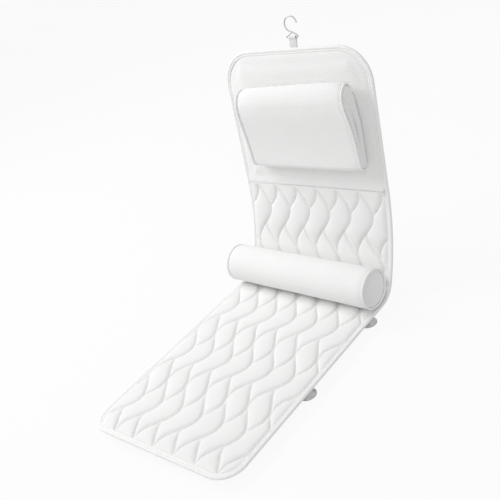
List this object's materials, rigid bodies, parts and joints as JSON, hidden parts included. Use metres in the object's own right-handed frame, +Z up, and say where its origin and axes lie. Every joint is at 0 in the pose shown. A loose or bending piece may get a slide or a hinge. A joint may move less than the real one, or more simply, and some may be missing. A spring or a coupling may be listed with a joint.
{
  "type": "bath pillow",
  "caption": "Full-length padded bath pillow mat: quilted seat and lumbar panel, contoured head pillow, loose bolster, suction cups and a wire hanging hook.",
  "frame": {"origin": "centre of the part's box at floor level, under the suction cups of the seat", "axes": "+Z up, +Y from the front edge of the seat to the back panel, +X to the sitter's left across the mat"},
  "size_m": [0.3824, 0.6878, 0.5824],
  "materials": {
    "cover_mesh": "white knitted air mesh, matte",
    "lining_fabric": "white open mesh lining, matte",
    "padding": "white fibre padding",
    "edge_tape": "white woven tape and piping",
    "grip_tape": "white hook-and-loop tape",
    "cup_vinyl": "translucent soft vinyl, glossy",
    "hook_wire": "bright plated wire"
  },
  "bodies": {
    "seat": {"seat_quilt": "cover_mesh", "seat_core": "padding", "seat_backing": "lining_fabric", "seat_binding": "edge_tape", "back_fold_seam": "edge_tape", "seat_cup_1": "cup_vinyl", "seat_cup_2": "cup_vinyl", "seat_cup_3": "cup_vinyl", "seat_cup_4": "cup_vinyl", "seat_cup_5": "cup_vinyl", "seat_cup_6": "cup_vinyl", "seat_cup_7": "cup_vinyl", "seat_cup_8": "cup_vinyl"},
    "back": {"lumbar_quilt": "cover_mesh", "lumbar_core": "padding", "lumbar_backing": "lining_fabric", "lumbar_binding_left": "edge_tape", "lumbar_binding_right": "edge_tape", "head_fold_seam": "edge_tape", "lumbar_cup_1": "cup_vinyl", "lumbar_cup_2": "cup_vinyl"},
    "head": {"head_cover": "cover_mesh", "head_core": "padding", "head_backing": "lining_fabric", "head_binding": "edge_tape", "panel_loop_tape_left": "grip_tape", "panel_loop_tape_right": "grip_tape", "hanging_loop": "edge_tape", "head_cup_1": "cup_vinyl", "head_cup_2": "cup_vinyl", "head_cup_3": "cup_vinyl", "head_cup_4": "cup_vinyl"},
    "pillow": {"pillow_cover": "cover_mesh", "pillow_core": "padding", "pillow_gusset_left": "cover_mesh", "pillow_gusset_right": "cover_mesh", "pillow_piping_left": "edge_tape", "pillow_piping_right": "edge_tape", "pillow_hook_tape_left": "grip_tape", "pillow_hook_tape_right": "grip_tape"},
    "bolster": {"bolster_cover": "cover_mesh", "bolster_core": "padding", "bolster_end_left": "cover_mesh", "bolster_end_right": "cover_mesh", "bolster_piping_left": "edge_tape", "bolster_piping_right": "edge_tape", "bolster_hook_tape": "grip_tape"},
    "hook": {"hanging_hook": "hook_wire"}
  },
  "joints": [
    {"name": "back_recline", "type": "hinge", "parent": "seat", "child": "back", "pos_m": [0, 0.21024, 0.0498], "axis": [-1, 0, 0], "range_deg": [-12, 75]},
    {"name": "head_fold", "type": "hinge", "parent": "back", "child": "head", "pos_m": [0, 0.27241, 0.22882], "axis": [-1, 0, 0], "range_deg": [-45, 60]},
    {"name": "pillow_height", "type": "slide", "parent": "head", "child": "pillow", "axis": [0, 0.1444, 0.9895], "range_m": [-0.035, 0.035]},
    {"name": "bolster_slide", "type": "slide", "parent": "seat", "child": "bolster", "axis": [0, -1, 0], "range_m": [0, 0.3]},
    {"name": "hook_swing", "type": "hinge", "parent": "head", "child": "hook", "pos_m": [0.004, 0.33633, 0.53884], "axis": [-1, 0, 0], "range_deg": [-90, 90]}
  ]
}
